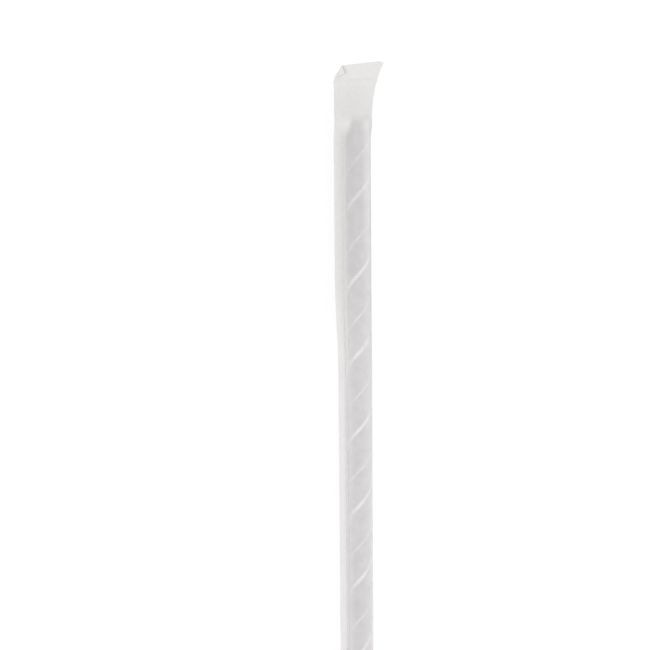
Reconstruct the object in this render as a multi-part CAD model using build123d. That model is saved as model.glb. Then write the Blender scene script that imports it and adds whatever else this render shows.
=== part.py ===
"""Wrapped paper drinking straw: a wound paper tube sealed in a thin paper sleeve.

The straw lies along Y, head end at +Y, in a sleeve that rests on the plane Z = 0. The sleeve's two
plies drape over and under the straw and crease together into a side fin at -X, half as high as the
straw. Past each end of the straw they slope together into a pressed seal on that plane. Lengths are
in millimetres.
"""
import os
from math import acos, asin, atan2, cos, hypot, pi, radians, sin

from build123d import *

# Straw: a tube wound from paper plies, both rims cut square
straw_diameter = 6.0
straw_wall = 0.42
straw_length = 197.0

# Sleeve paper and how it lies round the straw
paper = 0.12
clearance = 0.1
head_slack = 0.1
tail_slack = 0.15
rim_slack = 0.37

# Side fin: the two plies pressed together along the sleeve, level at the head and turned up towards the tail
crease_run = 0.28
turned_run = 0.28
fin_width = 2.55
fin_turn_angle = 26.0
turn_start = 36.0
turn_length = 26.0
settle_length = 18.0
crease_fade = 5.0
edge_fold = 0.4
edge_draw = 0.22
head_edge_rise = 1.1

# Ends: plies that slope together past the rims, then a pressed seal as wide as the flat sleeve
flat_width = 12.65
head_overhang = 14.8
tail_overhang = 10.2
rim_gap = 0.3
pinch_run = 0.4
seal_length = 4.0
seal_thickness = 0.36
seal_slant = 1.2

# Dog-eared corner of the head seal, folded over onto the upper ply
dogear_width = 2.45
dogear_length = 3.45
dogear_lift_angle = 9.0
fold_trim_share = 1.5

# Steps of the sleeve's ruled panels, and the facets of its lower ply beneath the straw
turn_steps = 5
fade_steps = 4
slope_steps = 5
seal_steps = 3
facets = 2
facet_width = 1.0

overrun = 1.0

straw_radius = straw_diameter / 2
sleeve_radius = straw_radius + clearance + paper
sleeve_height = 2 * sleeve_radius
fin_thickness = 2 * paper
fin_reach = sleeve_radius + crease_run + fin_width

sleeve_length = head_overhang + straw_length + tail_overhang
head_end = sleeve_length / 2
tail_end = -sleeve_length / 2
head_rim = head_end - head_overhang
tail_rim = tail_end + tail_overhang


def ease(share):
    """Smooth rise from 0 to 1."""
    share = min(max(share, 0), 1)
    return share * share * (3 - 2 * share)


def tail_share(y):
    """0 where the sleeve lies as at the head, 1 where it has turned round the straw."""
    return ease((head_rim - turn_start - y) / turn_length)


def turned_share(y):
    """0 where the fin is level, 1 where it is turned up; it settles level again before the tail rim."""
    settled = ease((tail_rim + crease_fade + settle_length - y) / settle_length)
    return tail_share(y) * (1 - settled)


def fin_turn(y):
    """Angle that the fin is turned up round the straw."""
    return radians(fin_turn_angle) * turned_share(y)


def head_share(y):
    """0 along the straw, 1 past its head rim."""
    return ease((y - head_rim + crease_fade) / crease_fade)


def rim_share(y):
    """0 along the straw, 1 past either of its rims."""
    return max(head_share(y), ease((tail_rim + crease_fade - y) / crease_fade))


def fin_edge(y):
    """Reach of the fin's edge, which is drawn in a little past the rims."""
    return fin_reach - edge_draw * rim_share(y)


def fin_root(y):
    """Reach of the crease between fin and sleeve; it runs out to the fin's edge at the rims."""
    along_straw = fin_reach - fin_width + turned_run * turned_share(y)
    return along_straw + (fin_edge(y) - edge_fold - along_straw) * rim_share(y)


def side_reach(y):
    """Reach of the sleeve to the right of the straw's axis; it flares to the flat width at the ends."""
    slack = head_slack + (tail_slack - head_slack) * tail_share(y) + rim_slack * rim_share(y)
    round_reach = sleeve_radius + slack
    past_head = max(y - head_rim, 0) / head_overhang
    past_tail = max(tail_rim - y, 0) / tail_overhang
    flare = flat_width - fin_edge(y) - round_reach
    return round_reach + flare * max(past_head, past_tail) ** 2


def fall_share(y):
    """How far the plies have come together past the nearer rim: 0 along the straw, 1 at the seals."""
    past_head = (y - head_rim - rim_gap) / (head_overhang - rim_gap - seal_length)
    past_tail = (tail_rim - rim_gap - y) / (tail_overhang - rim_gap - seal_length)
    return min(max(past_head, past_tail, 0), 1)


def height(y):
    """Height of the upper ply over the straw's axis."""
    return sleeve_height + (seal_thickness - sleeve_height) * fall_share(y)


def fin_points(y):
    """The fin's section at y, from its upper crease round its edge to its lower crease."""
    root = fin_root(y)
    turn = fin_turn(y)
    along = Vector(-cos(turn), sin(turn))
    through = Vector(sin(turn), cos(turn)) * fin_thickness
    level = sleeve_radius + head_edge_rise * head_share(y)
    level += (fin_thickness / 2 - level) * fall_share(y)
    low_crease = Vector(0, level) + along * root - through / 2
    low_edge = low_crease + along * (fin_edge(y) - root)
    return [low_crease + through, low_edge + through, low_edge, low_crease]


def leaving_angle(reach, rise):
    """Angle round the straw at which a ply leaves it for a crease, given the crease's place off the axis."""
    return atan2(rise, reach) + asin(sleeve_radius / hypot(rise, reach))


def edge_radius(y):
    """Radius of the sleeve's right edge: it follows the straw, then pinches into a fold past the rims."""
    fold_radius = seal_thickness / 2
    return fold_radius + (sleeve_radius - fold_radius) * (1 - fall_share(y)) ** 3


def flat_reach(y):
    """Reach of the part of the lower ply that lies on the surface, to the right of the straw's axis."""
    return side_reach(y) - height(y) / 2 - pinch_run


def edge_turns(y):
    """Angles from straight up, turning right, at which the right edge's arc meets the upper and lower plies."""
    radius = edge_radius(y)
    centre = Vector(side_reach(y) - radius, height(y) / 2)
    from_crown = centre - Vector(0, height(y) - sleeve_radius)
    from_under = centre - Vector(flat_reach(y), 0)
    upper = atan2(from_crown.X, from_crown.Y) - acos((sleeve_radius - radius) / from_crown.length)
    lower = pi - atan2(from_under.Y, from_under.X) + asin(radius / from_under.length)
    return upper, lower


def shoulder(y, inset):
    """The upper ply's crown at y: where the slope to the right edge starts, its middle, and its left end."""
    centre_z = height(y) - sleeve_radius
    crease = fin_points(y)[0]
    start = -edge_turns(y)[0]
    stop = leaving_angle(-crease.X, centre_z - crease.Y)
    radius = sleeve_radius - inset
    turns = (start, (start + stop) / 2, stop)
    return [Vector(-radius * sin(turn), centre_z + radius * cos(turn)) for turn in turns]


def right_edge(y, inset):
    """The right edge's arc at y: where it leaves the lower ply, its middle, and where it meets the upper one."""
    upper, lower = edge_turns(y)
    radius = edge_radius(y) - inset
    centre = Vector(side_reach(y) - edge_radius(y), height(y) / 2)
    turns = (lower, (lower + upper) / 2, upper)
    return [centre + Vector(sin(turn), cos(turn)) * radius for turn in turns]


def underside(y, inset):
    """Corners of the lower ply's facets at y, from the one next to the fin to the one on the surface."""
    crease = fin_points(y)[-1]
    slope = leaving_angle(-crease.X, crease.Y - sleeve_radius)
    radius = (sleeve_radius - inset) / cos(slope / facets / 2)
    corners = []
    for facet in range(facets):
        turn = slope * (facet + 0.5) / facets
        spread = facet * facet_width * fall_share(y)
        corners.insert(0, Vector(-radius * sin(turn) - spread, sleeve_radius - radius * cos(turn)))
    return corners


def meeting_point(first, along_first, second, along_second):
    """Where two lines cross, each given by a point and a direction."""
    apart = second - first
    crossing = along_first.X * along_second.Y - along_first.Y * along_second.X
    share = (apart.X * along_second.Y - apart.Y * along_second.X) / crossing
    return first + along_first * share


def sleeve_outline(y, inset):
    """Closed section of the sleeve at y: its outside, or its hollow where inset is the paper's thickness."""
    low_side, mid_side, high_side = right_edge(y, inset)
    crown, middle, leave = shoulder(y, inset)
    under = underside(y, inset)
    left = fin_points(y)
    if inset > 0:
        upper_run = left[0] - shoulder(y, 0)[-1]
        lower_run = left[-1] - underside(y, 0)[0]
        left = [meeting_point(leave, upper_run, under[0], lower_run)]
    round_side = ThreePointArc(low_side, mid_side, high_side)
    round_shoulder = ThreePointArc(crown, middle, leave)
    corners = [leave, *left, *under, (flat_reach(y), inset), low_side]
    flats = [Line(start, stop) for start, stop in zip(corners, corners[1:])]
    section = Wire([round_side, Line(high_side, crown), round_shoulder, *flats])
    across = Plane(origin=(0, y, 0), x_dir=(1, 0, 0), z_dir=(0, -1, 0))
    return across * make_face(section)


def steps(start, stop, count):
    """Evenly spaced places from start up to, and without, stop."""
    return [start + (stop - start) * index / count for index in range(count)]


def sleeve_stations():
    """Places along the sleeve where its ruled panels meet: slopes and body, from seal to seal."""
    tail_seal = tail_end + seal_length
    head_seal = head_end - seal_length
    turn_high = head_rim - turn_start
    turn_low = turn_high - turn_length
    settle_low = tail_rim + crease_fade
    return (
        steps(tail_seal, tail_rim - rim_gap, slope_steps)
        + steps(tail_rim - rim_gap, settle_low, fade_steps)
        + steps(settle_low, settle_low + settle_length, turn_steps)
        + [settle_low + settle_length]
        + steps(turn_low, turn_high, turn_steps)
        + [turn_high]
        + steps(head_rim - crease_fade, head_rim + rim_gap, fade_steps)
        + steps(head_rim + rim_gap, head_seal, slope_steps)
        + [head_seal]
    )


def make_straw():
    """The straw's tube, lying in the sleeve."""
    tube = Circle(straw_radius) - Circle(straw_radius - straw_wall)
    across = Plane(origin=(0, tail_rim, sleeve_radius), x_dir=(1, 0, 0), z_dir=(0, 1, 0))
    return extrude(across * tube, amount=straw_length)


def make_panels():
    """The sealed sleeve with square ends: its outside less its hollow."""
    hollow_stations = sleeve_stations()
    tail_seal = steps(tail_end, tail_end + seal_length, seal_steps)
    head_seal = steps(head_end - seal_length, head_end, seal_steps)[1:] + [head_end]
    stations = tail_seal + hollow_stations + head_seal
    outside = loft([sleeve_outline(y, 0) for y in stations], ruled=True)
    hollow = loft([sleeve_outline(y, paper) for y in hollow_stations], ruled=True)
    return outside - hollow


def plate(points, bottom, thickness):
    """Flat sheet of paper over an outline in plan."""
    outline = make_face(Polyline(*points, close=True))
    return extrude(Pos(0, 0, bottom) * outline, amount=thickness, dir=(0, 0, 1))


def make_sleeve():
    """The sleeve, its head seal cut on a slant and one corner of that seal folded over."""
    left = -fin_edge(head_end)
    right = side_reach(head_end)
    slope = seal_slant / flat_width
    corner = Vector(left, head_end - seal_slant)
    fold_low = corner - Vector(0, dogear_length)
    fold_high = corner + Vector(dogear_width, dogear_width * slope)

    offcut = [
        (left - overrun, corner.Y - overrun * slope),
        (right + overrun, head_end + overrun * slope),
        (right + overrun, head_end + overrun),
        (left - overrun, head_end + overrun),
    ]
    outward = Vector(-overrun, overrun)
    ear_cut = [fold_low, fold_high, fold_high + outward, corner + outward, fold_low + outward]
    sleeve = make_panels()
    sleeve -= plate(offcut, -overrun, sleeve_height)
    sleeve -= plate(ear_cut, -overrun, sleeve_height)

    fold = Vector(fold_high - fold_low)
    trim = fold.normalized() * seal_thickness * fold_trim_share
    ear_low = fold_low + trim
    ear_high = fold_high - trim
    fold_plane = Plane(origin=fold_low, x_dir=fold, z_dir=fold.cross(Vector(0, 0, 1)))
    ear = mirror(plate([ear_low, ear_high, corner], seal_thickness, seal_thickness), about=fold_plane)
    crease = Axis(Vector(ear_low.X, ear_low.Y, seal_thickness), fold)
    ear = ear.rotate(crease, -dogear_lift_angle)
    bend_section = Plane(origin=crease.position, z_dir=fold) * Circle(seal_thickness)
    bend = extrude(bend_section, amount=(ear_high - ear_low).length)
    return sleeve + ear + bend


os.makedirs("parts", exist_ok=True)
axis_x = (fin_reach - side_reach(head_end)) / 2
export_step(Pos(axis_x, 0, 0) * make_straw(), "parts/straw.step")
export_step(Pos(axis_x, 0, 0) * make_sleeve(), "parts/wrapper.step")
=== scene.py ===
"""A wrapped paper drinking straw: a striped tube in a thin sealed sleeve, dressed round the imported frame.

Lengths are in metres.
"""
from math import acos, asin, atan2, cos, hypot, pi, radians, sin

import bpy
from mathutils import Matrix, Vector, noise


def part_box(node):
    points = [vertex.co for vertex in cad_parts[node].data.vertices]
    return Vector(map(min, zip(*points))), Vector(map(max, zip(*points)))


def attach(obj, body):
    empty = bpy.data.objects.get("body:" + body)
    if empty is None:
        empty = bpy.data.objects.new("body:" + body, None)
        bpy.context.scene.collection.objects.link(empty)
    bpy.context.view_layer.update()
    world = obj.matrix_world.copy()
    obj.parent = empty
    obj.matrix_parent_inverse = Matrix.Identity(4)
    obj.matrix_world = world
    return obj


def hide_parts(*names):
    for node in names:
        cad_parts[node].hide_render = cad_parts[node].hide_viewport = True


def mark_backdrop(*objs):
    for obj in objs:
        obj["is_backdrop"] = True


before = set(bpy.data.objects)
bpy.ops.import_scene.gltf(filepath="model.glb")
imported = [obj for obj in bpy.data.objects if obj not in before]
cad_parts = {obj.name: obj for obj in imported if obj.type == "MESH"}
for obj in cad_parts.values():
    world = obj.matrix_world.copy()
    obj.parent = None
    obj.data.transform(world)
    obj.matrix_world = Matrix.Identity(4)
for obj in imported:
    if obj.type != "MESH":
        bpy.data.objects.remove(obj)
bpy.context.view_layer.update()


# Straw: a tube wound from strips of black paper on a mandrel, glued ply on ply and cut square.
# The outer strip is printed with white stripes, which become helices once it is wound,
# and the joint between its edges stays as a fine helical groove.
straw_low, straw_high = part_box("straw")
straw_radius = (straw_high[0] - straw_low[0]) / 2
axis_x = (straw_low[0] + straw_high[0]) / 2
axis_z = (straw_low[2] + straw_high[2]) / 2
tail_rim = straw_low[1]
head_rim = straw_high[1]
straw_length = head_rim - tail_rim
straw_wall = 0.00042
winding_pitch = 0.02046
stripe_start = 0.07767
stripe_width = 0.00142
pinstripe_width = 0.0006
pinstripe_drop_share = 0.54
stripe_edge_share = 0.85
groove_depth = 0.00003
straw_columns = 72
straw_rows = 130
straw_smooth_angle = radians(40)
straw_black = (0.022, 0.022, 0.024, 1)
straw_white = (0.9, 0.9, 0.89, 1)
scuffed_black = (0.045, 0.044, 0.043, 1)
scuffed_white = (0.78, 0.775, 0.76, 1)
black_scuff_share = 0.5
white_scuff_share = 0.4
scuff_band = (0.35, 0.75)
straw_roughness = 0.62
scuff_roughness = 0.16
pulp_grain = {"Scale": 2600.0, "Detail": 3.0, "Roughness": 0.6}
pulp_relief = {"Strength": 0.25, "Distance": 0.00004}


def flat_sheet(name, columns, rows):
    """A square sheet of paper, one unit across, cut into columns and rows."""
    bpy.ops.object.select_all(action="DESELECT")
    bpy.ops.mesh.primitive_grid_add(x_subdivisions=columns, y_subdivisions=rows, size=1)
    sheet = bpy.context.object
    sheet.name = name
    sheet.data.name = name
    return sheet


def close_seam(gap):
    """Joins the edges that meet where a sheet is rolled up."""
    bpy.ops.object.mode_set(mode="EDIT")
    bpy.ops.mesh.select_all(action="SELECT")
    bpy.ops.mesh.remove_doubles(threshold=gap)
    bpy.ops.object.mode_set(mode="OBJECT")


def apply_modifier(sheet, name, kind, **settings):
    """Adds a modifier with its settings and applies it."""
    modifier = sheet.modifiers.new(name, kind)
    for setting, value in settings.items():
        setattr(modifier, setting, value)
    bpy.ops.object.modifier_apply(modifier=name)


def wind_straw():
    """Winds a flat sheet into the tube, its columns along the helix so that the groove is cut true."""
    tube = flat_sheet("straw_tube", straw_columns, straw_rows)
    for vertex in tube.data.vertices:
        across = vertex.co.x + 0.5
        y = tail_rim + (vertex.co.y + 0.5) * straw_length
        turn = 2 * pi * (across + (y - stripe_start) / winding_pitch)
        in_groove = min(across, 1 - across) * straw_columns < 0.5
        radius = straw_radius - (groove_depth if in_groove else 0)
        vertex.co = (axis_x + radius * sin(turn), y, axis_z + radius * cos(turn))
    close_seam(groove_depth / 2)
    apply_modifier(tube, "wall", "SOLIDIFY", thickness=straw_wall, offset=-1)
    bpy.ops.object.shade_smooth_by_angle(angle=straw_smooth_angle)
    return tube


class Shade:
    """A shader socket that Python arithmetic extends with Math nodes."""

    def __init__(self, tree, socket=None):
        self.tree = tree
        self.socket = socket

    def node(self, kind, settings=None, inputs=None, output=0):
        """Adds a node: its settings first, then the values or links of its sockets."""
        made = self.tree.nodes.new(kind)
        for setting, value in (settings or {}).items():
            setattr(made, setting, value)
        for socket, value in (inputs or {}).items():
            if isinstance(value, Shade):
                self.tree.links.new(value.socket, made.inputs[socket])
            else:
                made.inputs[socket].default_value = value
        return Shade(self.tree, made.outputs[output])

    def feed(self, shader, socket):
        """Links this to a socket of the shader."""
        self.tree.links.new(self.socket, shader.inputs[socket])

    def math(self, operation, first, second=0.0):
        """A Math node on one or two values."""
        return self.node("ShaderNodeMath", {"operation": operation}, {0: first, 1: second})

    def __add__(self, other):
        return self.math("ADD", self, other)

    def __radd__(self, other):
        return self.math("ADD", other, self)

    def __sub__(self, other):
        return self.math("SUBTRACT", self, other)

    def __rsub__(self, other):
        return self.math("SUBTRACT", other, self)

    def __mul__(self, other):
        return self.math("MULTIPLY", self, other)

    def __rmul__(self, other):
        return self.math("MULTIPLY", other, self)

    def __truediv__(self, other):
        return self.math("DIVIDE", self, other)

    def __rtruediv__(self, other):
        return self.math("DIVIDE", other, self)

    def band(self, low, high):
        """0 below low, 1 above high, and a smooth rise between; the other way where high is the less."""
        settings = {"interpolation_type": "SMOOTHSTEP"}
        turned = low > high
        inputs = {"Value": self, "From Min": min(low, high), "From Max": max(low, high)}
        inputs.update({"To Min": 1.0 if turned else 0.0, "To Max": 0.0 if turned else 1.0})
        return self.node("ShaderNodeMapRange", settings, inputs)

    def blend(self, first, second):
        """The first colour where this is 0 and the second where it is 1."""
        settings = {"data_type": "RGBA"}
        return self.node("ShaderNodeMix", settings, {0: self, 6: first, 7: second}, output=2)


def new_finish(name):
    """A material with a bare Principled shader: its node tree's Shade, and the shader node."""
    material = bpy.data.materials.new(name)
    material.use_nodes = True
    shader = material.node_tree.nodes["Principled BSDF"]
    return material, Shade(material.node_tree), shader


def place_in(shade):
    """Object coordinates as x, y and z in metres, which are those of the part's own frame."""
    spot = shade.node("ShaderNodeTexCoord", output=3)
    return spot, [shade.node("ShaderNodeSeparateXYZ", inputs={0: spot}, output=index) for index in range(3)]


def striped_paper():
    """Matt black paper with a broad and a fine white stripe wound round it, grained by pulp fibres."""
    material, shade, shader = new_finish("striped_paper")
    spot, (x, y, z) = place_in(shade)
    turn = shade.math("ARCTAN2", x - axis_x, z - axis_z) / (2 * pi)
    wound = shade.math("FRACT", turn - (y - stripe_start) / winding_pitch + 0.5)
    broad = shade.math("ABSOLUTE", wound - 0.5)
    fine = shade.math("ABSOLUTE", shade.math("FRACT", wound + (1 - pinstripe_drop_share)) - 0.5)
    half = stripe_width / winding_pitch / 2
    fine_half = pinstripe_width / winding_pitch / 2
    broad_stripe = broad.band(half, half * stripe_edge_share)
    fine_stripe = fine.band(fine_half, fine_half * stripe_edge_share)
    stripe = shade.math("MAXIMUM", broad_stripe, fine_stripe)
    fibres = shade.node("ShaderNodeTexNoise", inputs={"Vector": spot, **pulp_grain})
    scuffed = fibres.band(*scuff_band)
    black = (scuffed * black_scuff_share).blend(straw_black, scuffed_black)
    white = (scuffed * white_scuff_share).blend(straw_white, scuffed_white)
    stripe.blend(black, white).feed(shader, "Base Color")
    (straw_roughness + scuff_roughness * scuffed).feed(shader, "Roughness")
    shade.node("ShaderNodeBump", inputs={"Height": fibres, **pulp_relief}).feed(shader, "Normal")
    return material


straw_tube = wind_straw()
straw_tube.data.materials.append(striped_paper())
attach(straw_tube, "root")
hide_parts("straw")


# Wrapper: one sheet of thin white paper folded round the straw, its two plies pressed together in a fin
# along one side and glued in a seal at each end. It hugs the straw, slopes down past the rims, and one
# corner of the head seal is dog-eared. The straw shows through it where the paper touches.
wrapper_low, wrapper_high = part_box("wrapper")
head_end = wrapper_high[1]
tail_end = wrapper_low[1]
left_reach = axis_x - wrapper_low[0]
right_reach = wrapper_high[0] - axis_x
head_overhang = head_end - head_rim
tail_overhang = tail_rim - tail_end

# How the two plies lie round the straw and come together past its rims.
ply_clearance = 0.00005
drape_clearance = 0.00008
drape_radius = straw_radius + drape_clearance
drape_top = axis_z + drape_radius
under_radius = axis_z - ply_clearance
head_slack = 0.00022
tail_slack = 0.00028
rim_slack = 0.00037
tail_lift = 0.00006
loose_rise = 0.0007
head_loose_rise = 0.0014
rim_rounding = 0.08
fall_power = 1.4
flare_power = 2
pinch_run = 0.0004
pinch_power = 3
crease_fade = 0.005

# The fin, and how it turns up towards the tail.
fin_width = 0.00255
fin_gap = 0.00012
fin_turn_angle = radians(26)
turned_run = 0.0001
turn_start = 0.036
turn_length = 0.026
settle_length = 0.018
crease_dip = 0.0005
groove_run = 0.00045
edge_draw = 0.00022
head_edge_rise = 0.0011

# The seals, the bulge beside each, the slanted cut at the head and its dog-ear.
seal_length = 0.004
seal_gap = 0.00016
seal_level = ply_clearance + seal_gap / 2
seal_slant = 0.0012
flat_width = left_reach - edge_draw + right_reach
seal_bulge = 0.00016
seal_bulge_run = 0.0011
bulge_width = 0.0035
bulge_share = 0.7
bulge_vary_share = 0.6
bulge_seed = (3.1, 0.4)
corner_width = 0.0013
corner_drop = 0.0004
dogear_width = 0.00245
dogear_length = 0.00345
dogear_turn = radians(171)
dogear_bend = 0.0002
dogear_steps = 6

# The crumple: long waves, small ripples and the sharp edges between flat facets.
wave_height = 0.00009
wave_width = 0.007
wave_length = 0.021
wave_seed = 0.4
ripple_height = 0.00003
ripple_width = 0.0021
ripple_length = 0.0052
ripple_seed = 7.3
facet_width = 0.0055
facet_length = 0.014
facet_seed = 2.6
facet_edge_height = 0.00006
facet_edge_share = 0.16
snug_crumple_share = 0.35
crumple_lift = 0.00004
least_lift = 0.00001

# How finely the sheet is cut.
wrapper_columns = 132
fin_columns = 14
wrapper_rows = 300
end_rows = 90
arc_steps = 24
softening_passes = 2
seam_gap = ply_clearance / 10
wrapper_smooth_angle = radians(35)


def ease(share):
    """Smooth rise from 0 to 1."""
    share = min(max(share, 0), 1)
    return share * share * (3 - 2 * share)


def past_rims(y, gap, seal):
    """How far y has come, from a gap past the nearer rim to that end's seal of this length, from 0 to 1."""
    past_head = (y - head_rim - gap) / (head_overhang - gap - seal)
    past_tail = (tail_rim - gap - y) / (tail_overhang - gap - seal)
    return min(max(past_head, past_tail, 0), 1)


def fall_share(y):
    """How far the plies have come together past a rim: they round over it and then fall steeply."""
    past = past_rims(y, 0, seal_length)
    rounded = past * past * (1 + rim_rounding) / (past + rim_rounding)
    return 1 - (1 - rounded) ** fall_power


def head_share(y):
    """0 along the straw, 1 past its head rim."""
    return ease((y - head_rim + crease_fade) / crease_fade)


def rim_share(y):
    """0 along the straw, 1 past either of its rims."""
    return max(head_share(y), ease((tail_rim + crease_fade - y) / crease_fade))


def turned_share(y):
    """0 where the sleeve lies as at the head, 1 where it has turned round the straw."""
    return ease((head_rim - turn_start - y) / turn_length)


def fin_share(y):
    """0 where the fin is level, 1 where it is turned up; it settles level again before the tail rim."""
    return turned_share(y) * (1 - ease((tail_rim + crease_fade + settle_length - y) / settle_length))


def fin_points(y):
    """The fin's folded edge and its lower and upper creases, as points across the sleeve."""
    reach = left_reach - edge_draw * rim_share(y)
    root = left_reach - fin_width + turned_run * fin_share(y)
    turn = fin_turn_angle * fin_share(y)
    along = Vector((-cos(turn), sin(turn)))
    through = Vector((sin(turn), cos(turn)))
    level = axis_z + head_edge_rise * head_share(y)
    middle = Vector((0, level + (seal_level - level) * fall_share(y)))
    crease = middle + along * root - through * crease_dip * fin_share(y)
    return middle + along * reach, crease - through * fin_gap / 2, crease + through * fin_gap / 2


def leaving_angle(reach, rise, radius):
    """Angle round the straw at which a ply leaves it for a crease at this reach and rise off the axis."""
    return atan2(rise, reach) + asin(min(radius / hypot(rise, reach), 1))


def round_points(centre, radius, start, stop):
    """Points along an arc, its angles taken from straight up and turning to the left."""
    turns = [start + (stop - start) * step / arc_steps for step in range(arc_steps + 1)]
    return [centre + Vector((-sin(turn), cos(turn))) * radius for turn in turns]


def opened(crease, edge, leave, share):
    """A crease where the fin opens near a rim: drawn onto the straight run from its edge to the straw."""
    run_share = (crease.x - edge.x) / (leave.x - edge.x)
    return crease.lerp(edge.lerp(leave, run_share), share)


def under_fin(y, opening):
    """The lower ply's path at y, from the fin's edge to the bottom of the sleeve."""
    edge, crease, other = fin_points(y)
    side = edge + (crease - other) / 2
    axis = Vector((0, axis_z))
    turn = pi - leaving_angle(-side.x, side.y - axis_z, under_radius)
    leave = round_points(axis, under_radius, turn, turn)[0]
    crease = opened(crease, side, leave, opening)
    turn = pi - leaving_angle(-crease.x, crease.y - axis_z, under_radius)
    face = crease.lerp(side, groove_run / (side - crease).length)
    return [edge, side, face, crease], round_points(axis, under_radius, turn, pi)


def over_fin(y, opening, centre, radius):
    """The upper ply's path at y, from the top of the sleeve to the fin's edge."""
    edge, other, crease = fin_points(y)
    side = edge + (crease - other) / 2
    turn = leaving_angle(-side.x, centre.y - side.y, radius)
    leave = round_points(centre, radius, turn, turn)[0]
    crease = opened(crease, side, leave, opening)
    turn = leaving_angle(-crease.x, centre.y - crease.y, radius)
    face = crease.lerp(side, groove_run / (side - crease).length)
    return round_points(centre, radius, 0, turn), [crease, face, side, edge]


def sleeve_section(y):
    """The paper's path across the sleeve at y: under the fin, round the straw and over the fin."""
    fall = fall_share(y)
    crest = drape_top + tail_lift * turned_share(y)
    top = crest + (ply_clearance + seal_gap - crest) * fall
    slack = head_slack + (tail_slack - head_slack) * turned_share(y) + rim_slack * rim_share(y)
    flare = right_reach - drape_radius - slack
    side = drape_radius + slack + flare * past_rims(y, 0, 0) ** flare_power
    fold_radius = seal_gap / 2
    side_radius = fold_radius + ((crest - ply_clearance) / 2 - fold_radius) * (1 - fall) ** pinch_power
    side_centre = Vector((side - side_radius, (top + ply_clearance) / 2))
    shoulder_radius = drape_radius + max(loose_rise * fin_share(y), head_loose_rise * head_share(y))
    crown_centre = Vector((0, top - shoulder_radius))
    flat_end = Vector((max(side - (top - ply_clearance) / 2 - pinch_run, 0), ply_clearance))
    from_under = side_centre - flat_end
    lift = atan2(from_under.y, from_under.x) - asin(min(side_radius / from_under.length, 1))
    hug_centre = Vector((0, top - drape_radius))
    from_hug = side_centre - hug_centre
    tilt = atan2(from_hug.x, from_hug.y) - acos((drape_radius - side_radius) / from_hug.length)
    right = round_points(side_centre, side_radius, lift - pi, -tilt)
    right += round_points(hug_centre, drape_radius, -tilt, 0)
    lower_face, under = under_fin(y, rim_share(y))
    over, upper_face = over_fin(y, rim_share(y), crown_centre, shoulder_radius)
    return lower_face, [lower_face[-1], *under, flat_end, *right, *over, upper_face[0]], upper_face


def evenly_along(path, count):
    """Points at even spacing along a path, count spaces in all."""
    lengths = [(after - before).length for before, after in zip(path, path[1:])]
    spacing = sum(lengths) / count
    points = [path[0]]
    leg = 0
    start_of_leg = 0
    for index in range(1, count):
        distance = index * spacing
        while start_of_leg + lengths[leg] < distance:
            start_of_leg += lengths[leg]
            leg += 1
        points.append(path[leg].lerp(path[leg + 1], (distance - start_of_leg) / lengths[leg]))
    return points + [path[-1]]


def softened(points):
    """The same path with its sharp turns rounded a little, each pass as far as the next points."""
    for _ in range(softening_passes):
        trios = zip(points, points[1:], points[2:])
        rounded = [(before + 2 * point + after) / 4 for before, point, after in trios]
        points = [points[0], *rounded, points[-1]]
    return points


def sleeve_row(y):
    """The sheet's points across the sleeve at y, one on each crease, with sharp turns rounded a little."""
    lower_face, round_straw, upper_face = sleeve_section(y)
    points = evenly_along(lower_face, fin_columns)
    points += evenly_along(round_straw, wrapper_columns - 2 * fin_columns)[1:]
    points += evenly_along(upper_face, fin_columns)[1:]
    return softened(points)


def row_places():
    """Where the sheet's rows lie along the sleeve: close together at the ends, where it bends most."""
    tail_fold = tail_rim + crease_fade
    head_fold = head_rim - crease_fade
    spans = [
        (tail_end, tail_fold, end_rows),
        (tail_fold, head_fold, wrapper_rows - 2 * end_rows),
        (head_fold, head_end, end_rows),
    ]
    places = []
    for start, stop, count in spans:
        places += [start + (stop - start) * step / count for step in range(count)]
    return places + [head_end]


def crumple(around, y):
    """Height of the paper's small creases and waves over the sheet, outwards from the straw."""
    free = snug_crumple_share + (1 - snug_crumple_share) * past_rims(y, -crease_fade, 0)
    wave = noise.noise(Vector((around / wave_width, y / wave_length, wave_seed)))
    ripple = noise.noise(Vector((around / ripple_width, y / ripple_length, ripple_seed)))
    facet_spot = Vector((around / facet_width, y / facet_length, facet_seed))
    near, next_near = noise.voronoi(facet_spot)[0][:2]
    facet_edge = max(0, 1 - (next_near - near) / facet_edge_share)
    crease_height_and_shade = wave_height * wave + ripple_height * ripple + facet_edge_height * facet_edge
    bulge_place = seal_length + seal_bulge_run
    from_bulge = min(abs(head_end - bulge_place - y), abs(tail_end + bulge_place - y))
    bulge = seal_bulge * max(0, 1 - (from_bulge / seal_bulge_run) ** 2) ** 2
    uneven = bulge_share + bulge_vary_share * noise.noise(Vector((around / bulge_width, *bulge_seed)))
    return max(free * crease_height_and_shade + crumple_lift, least_lift) + bulge * uneven


def slanted(x, y):
    """Where a point comes along the sleeve once the head seal is cut on its slant."""
    from_corner = wrapper_high[0] - x
    drop = seal_slant * from_corner / flat_width + corner_drop * max(0, 1 - from_corner / corner_width)
    return y - drop * ease((y - head_end + seal_length) / seal_length)


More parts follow.
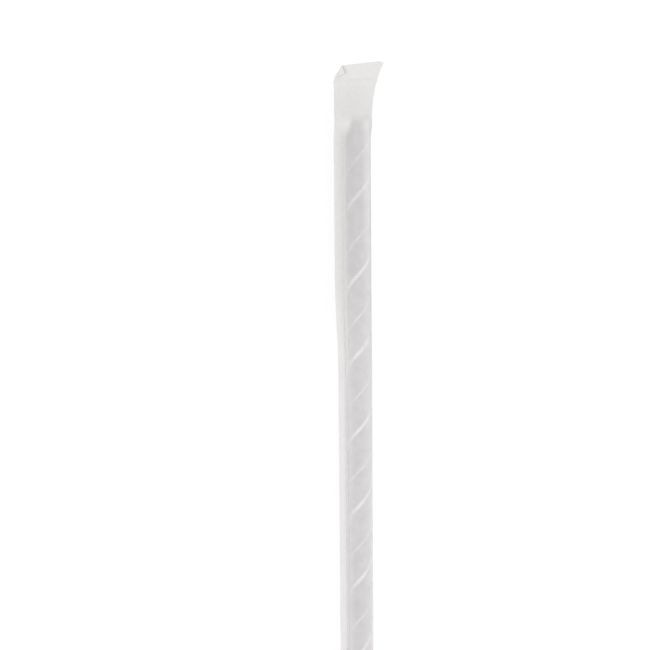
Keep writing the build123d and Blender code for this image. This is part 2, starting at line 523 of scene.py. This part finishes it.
def turn_dogear(sleeve):
    """Folds the head seal's left corner over onto the upper ply, along a line across that corner."""
    corner = Vector((wrapper_low[0] + edge_draw, head_end - seal_slant, 0))
    fold_low = corner - Vector((0, dogear_length, 0))
    fold_high = corner + Vector((dogear_width, dogear_width * seal_slant / flat_width, 0))
    fold = (fold_high - fold_low).normalized()
    up = Vector((0, 0, 1))
    outward = up.cross(fold)
    bpy.ops.object.mode_set(mode="EDIT")
    for step in range(dogear_steps + 1):
        bend_line = fold_low + outward * dogear_bend * dogear_turn * step / dogear_steps
        bpy.ops.mesh.select_all(action="SELECT")
        bpy.ops.mesh.bisect(plane_co=bend_line, plane_no=outward)
    bpy.ops.object.mode_set(mode="OBJECT")
    for vertex in sleeve.data.vertices:
        past = (vertex.co - fold_low).dot(outward)
        if past > 0:
            turn = min(past / dogear_bend, dogear_turn)
            along = outward * cos(turn) + up * sin(turn)
            through = up * cos(turn) - outward * sin(turn)
            ply_height = vertex.co.z - seal_level
            foot = vertex.co - outward * past - up * ply_height
            bend_end = foot + (outward * sin(turn) + up * (1 - cos(turn))) * dogear_bend
            vertex.co = bend_end + along * (past - turn * dogear_bend) + through * ply_height


def close_ends():
    """Closes the flat ends of the sleeve and turns all its faces outwards."""
    bpy.ops.object.mode_set(mode="EDIT")
    bpy.ops.mesh.select_all(action="SELECT")
    bpy.ops.mesh.fill_holes(sides=0)
    bpy.ops.mesh.normals_make_consistent(inside=False)
    bpy.ops.mesh.select_all(action="DESELECT")
    bpy.ops.mesh.select_face_by_sides(number=4, type="GREATER")
    bpy.ops.mesh.quads_convert_to_tris(ngon_method="BEAUTY")
    bpy.ops.object.mode_set(mode="OBJECT")


def crumple_sheet(sleeve):
    """Raises the paper by the height of its creases, and keeps it off the table."""
    outwards = [vertex.normal.copy() for vertex in sleeve.data.vertices]
    for vertex, outward in zip(sleeve.data.vertices, outwards):
        spot = vertex.co.copy()
        around = hypot(spot.x - axis_x, spot.z - axis_z) * atan2(spot.x - axis_x, spot.z - axis_z)
        spot += outward * crumple(around, spot.y)
        spot.z = max(spot.z, ply_clearance / 2)
        vertex.co = spot


def fold_wrapper():
    """Folds a flat sheet round the straw, closes its seals, crumples it a little and turns its dog-ear."""
    sleeve = flat_sheet("wrapper_paper", wrapper_columns, wrapper_rows)
    places = row_places()
    sections = [sleeve_row(y) for y in places]
    for vertex in sleeve.data.vertices:
        column = round((0.5 - vertex.co.x) * wrapper_columns)
        row = round((vertex.co.y + 0.5) * wrapper_rows)
        across = sections[row][column]
        x = axis_x + across.x
        vertex.co = (x, slanted(x, places[row]), across.y)
    close_seam(seam_gap)
    close_ends()
    crumple_sheet(sleeve)
    turn_dogear(sleeve)
    bpy.ops.object.shade_smooth_by_angle(angle=wrapper_smooth_angle)
    return sleeve


wrapper_paper = fold_wrapper()
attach(wrapper_paper, "root")
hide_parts("wrapper")

# The wrapper's paper: whites from its darkest grain to its lightest, some carrying painted light, a grey
# for painted shade, and the runs over which it changes.
head_whites = ((0.787, 0.779, 0.764, 1), (0.827, 0.819, 0.803, 1))
# Painted light: off the straw the paper is whiter towards the tail, standing in for the light that the
# turned-up fin catches there.
tail_painted_light_whites = ((0.816, 0.802, 0.803, 1), (0.856, 0.842, 0.843, 1))
loose_whites = ((0.796, 0.779, 0.787, 1), (0.836, 0.819, 0.827, 1))
snug_whites = ((0.903, 0.884, 0.895, 1), (0.943, 0.924, 0.935, 1))
# Painted light: the sleeve's right flank over the straw is painted whiter, as if lit from the right.
right_painted_light_white = (0.957, 0.937, 0.946, 1)
# Painted shade: a grey put into the paper's colour along its right edge and the fin's upper crease, where
# shade falls.
painted_shade_grey = (0.64, 0.628, 0.63, 1)
cloud_grain = {"Scale": 420.0, "Detail": 4.0}
fibre_grain = {"Scale": 3600.0, "Detail": 3.0}
fibre_relief = {"Strength": 0.3, "Distance": 0.00003}
fibre_stretch = (1.0, 0.22, 1.0)
fibre_band = (0.3, 0.7)
touch_band = (0.0008, 0.0001)
tail_band = (tail_rim - 0.001, tail_rim + 0.001)
tip_band = (0.001, -0.001)
tip_shade_band = (0.0022, -0.001)
tip_slope = 0.0035
tip_slope_band = (0.001, 0.0032)
right_band = (0.0006, 0.0026)
left_band = (0.0012, 0.0026)
snug_band = (head_rim - 0.015, head_rim - 0.055)
# The run over which the painted light of the tail half comes in.
tail_painted_light_band = (head_rim - 0.045, head_rim - 0.085)
# Where the painted shade lies: along the right edge beside the straw, and along the fin's upper crease.
right_edge_band = (0.0027, 0.0031)
right_edge_run = (head_rim - 0.13, head_rim - 0.03)
right_edge_shade_share = 0.48
fin_crease_place = 0.00304
fin_crease_band = (0.0004, 0.00002)
fin_crease_rise = (axis_z + 0.0002, axis_z + 0.0006)
fin_crease_head = (head_rim - 0.06, head_rim - 0.078)
fin_crease_tail = (tail_rim + 0.012, tail_rim + 0.03)
fin_crease_shade_share = 0.5
paper_see_share = 0.06
touch_see_share = 0.27
cloud_share = 0.16
fibre_share = 0.1
loose_see_share = 0.8
snug_see_share = 0.24
right_hidden_share = 0.06
left_hidden_share = 0.15
paper_roughness = 0.58
fibre_roughness = 0.14


def paper_white(grain, y, touch, snug, right_side):
    """The paper's grained white: one along the fin and the seals, another where it lies on the straw;
    painted light whitens the first towards the tail and the second on the right flank.
    """
    # Painted light: along the fin and the seals the white is lighter towards the tail, for the light the
    # turned-up fin catches there.
    far_white = y.band(*tail_painted_light_band).blend(grain.blend(*head_whites), grain.blend(*tail_painted_light_whites))
    near_white = snug.blend(grain.blend(*loose_whites), grain.blend(*snug_whites))
    # Painted light: over the straw the right flank is painted whiter, as if lit from the right.
    return touch.blend(far_white, right_side.blend(near_white, right_painted_light_white))


def painted_crease_shade(shade, to_right, y, z, by_straw):
    """Painted shade: how grey the paper is painted along its right edge and along the fin's upper crease,
    where shade falls.
    """
    right_edge_shade = to_right.band(*right_edge_band) * by_straw * y.band(*right_edge_run)
    off_crease = shade.math("ABSOLUTE", to_right + fin_crease_place)
    fin_crease_shade = off_crease.band(*fin_crease_band) * z.band(*fin_crease_rise)
    fin_crease_shade = fin_crease_shade * y.band(*fin_crease_head) * y.band(*fin_crease_tail)
    return right_edge_shade_share * right_edge_shade + fin_crease_shade_share * fin_crease_shade


def thin_paper():
    """Thin white paper: cloudy and fibrous, see-through where it touches the straw, with painted shade in
    its creases and painted light on its right flank and tail half.
    """
    material, shade, shader = new_finish("thin_paper")
    spot, (x, y, z) = place_in(shade)
    to_right = x - axis_x
    to_left = axis_x - x
    upwards = z - axis_z
    standoff = shade.math("SQRT", to_right * to_right + upwards * upwards) - straw_radius
    close_by = standoff.band(*touch_band)
    above_tail = y.band(*tail_band)
    off_tip = y - head_rim + tip_slope * to_left.band(*tip_slope_band)
    touch = close_by * above_tail * off_tip.band(*tip_band)
    by_straw = above_tail * off_tip.band(*tip_shade_band)
    right_side = to_right.band(*right_band)
    left_side = to_left.band(*left_band)
    snug = y.band(*snug_band)
    clouds = shade.node("ShaderNodeTexNoise", inputs={"Vector": spot, **cloud_grain})
    stretched = shade.node("ShaderNodeMapping", inputs={"Vector": spot, "Scale": fibre_stretch})
    fibres = shade.node("ShaderNodeTexNoise", inputs={"Vector": stretched, **fibre_grain})
    cloudy = (clouds - 0.5) * cloud_share + (fibres - 0.5) * fibre_share
    hidden = right_hidden_share * right_side + left_hidden_share * left_side
    thinness = (loose_see_share + snug_see_share * snug) * (1 - hidden)
    see = close_by * by_straw * (touch_see_share + cloudy) * thinness + paper_see_share
    (1 - see).feed(shader, "Alpha")
    # The white carries painted light: whiter towards the tail and on the right flank.
    white = paper_white(fibres.band(*fibre_band), y, touch, snug, right_side)
    # Painted shade: the paper is greyed along its right edge and the fin's upper crease, where shade falls.
    crease_height_and_shade = painted_crease_shade(shade, to_right, y, z, by_straw)
    crease_height_and_shade.blend(white, painted_shade_grey).feed(shader, "Base Color")
    (paper_roughness + fibre_roughness * fibres).feed(shader, "Roughness")
    shade.node("ShaderNodeBump", inputs={"Height": fibres, **fibre_relief}).feed(shader, "Normal")
    return material


wrapper_paper.data.materials.append(thin_paper())


# Table top: a plain white sheet that the wrapped straw lies on.
# It shows nearly white by itself, so that only the straw's faint shadow is left on it.
table_size = 4.0
table_white = (0.86, 0.86, 0.86, 1)
table_seen = (0.3, 0.3, 0.3, 1)
table_unlit = (0, 0, 0, 1)
table_glow = (0.76, 0.76, 0.76, 1)
table_roughness = 0.9


def lay_table():
    """A wide flat sheet that shows white to the camera and keeps the shadow on it."""
    bpy.ops.object.select_all(action="DESELECT")
    bpy.ops.mesh.primitive_plane_add(size=table_size)
    table = bpy.context.object
    table.name = "table_top"
    material, shade, shader = new_finish("white_table")
    shader.inputs["Roughness"].default_value = table_roughness
    shader.inputs["Specular IOR Level"].default_value = 0.0
    ray_kinds = ("Is Camera Ray", "Is Glossy Ray", "Is Transmission Ray")
    camera, glossy, transmitted = [shade.node("ShaderNodeLightPath", output=kind) for kind in ray_kinds]
    seen = shade.math("MAXIMUM", camera, shade.math("MAXIMUM", glossy, transmitted))
    seen.blend(table_white, table_seen).feed(shader, "Base Color")
    seen.blend(table_unlit, table_glow).feed(shader, "Emission Color")
    shader.inputs["Emission Strength"].default_value = 1.0
    table.data.materials.append(material)
    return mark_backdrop(table)


lay_table()


# Light: a white room with two large soft boxes, one high on each side of the straw.
# The right one is a little stronger, so the straw is shaded softly towards its left.
softbox_size = 0.6
right_softbox_place = (0.68, 0.04, 0.57)
right_softbox_power = 3.2
left_softbox_place = (-0.68, 0.04, 0.57)
left_softbox_power = 2.7
room_white = (1, 1, 1, 1)
room_strength = 0.63


def hang_softbox(name, place, power):
    """A square soft box at a place, turned to the middle of the straw."""
    bpy.ops.object.light_add(type="AREA", location=place)
    box = bpy.context.object
    box.name = name
    box.data.shape = "SQUARE"
    box.data.size = softbox_size
    box.data.energy = power
    box.rotation_euler = (-Vector(place)).to_track_quat("-Z", "Y").to_euler()


def paint_room():
    """The white room that surrounds the table."""
    room = bpy.data.worlds.new("white_room")
    room.use_nodes = True
    background = room.node_tree.nodes["Background"]
    background.inputs["Color"].default_value = room_white
    background.inputs["Strength"].default_value = room_strength
    bpy.context.scene.world = room


hang_softbox("right_softbox", right_softbox_place, right_softbox_power)
hang_softbox("left_softbox", left_softbox_place, left_softbox_power)
paint_room()


# Camera: nearly straight above, set a little towards the head end and looking back down from there.
# It frames the head and most of the length, and leaves the tail out below.
camera_lens = 85.0
camera_distance = 0.3989
camera_target = Vector((axis_x - 0.00877, 0.043537, 0.003))
camera_tilt = radians(-10.163)
camera_roll = radians(-0.571)


def set_camera():
    """A camera over its target, tilted back from the head end and rolled a little."""
    bpy.ops.object.camera_add()
    camera = bpy.context.object
    camera.data.lens = camera_lens
    turn = Matrix.Rotation(camera_roll, 4, "Z") @ Matrix.Rotation(camera_tilt, 4, "X")
    camera.matrix_world = Matrix.Translation(camera_target + turn @ Vector((0, 0, camera_distance))) @ turn
    bpy.context.scene.camera = camera


set_camera()
bpy.context.scene.view_settings.view_transform = "Standard"
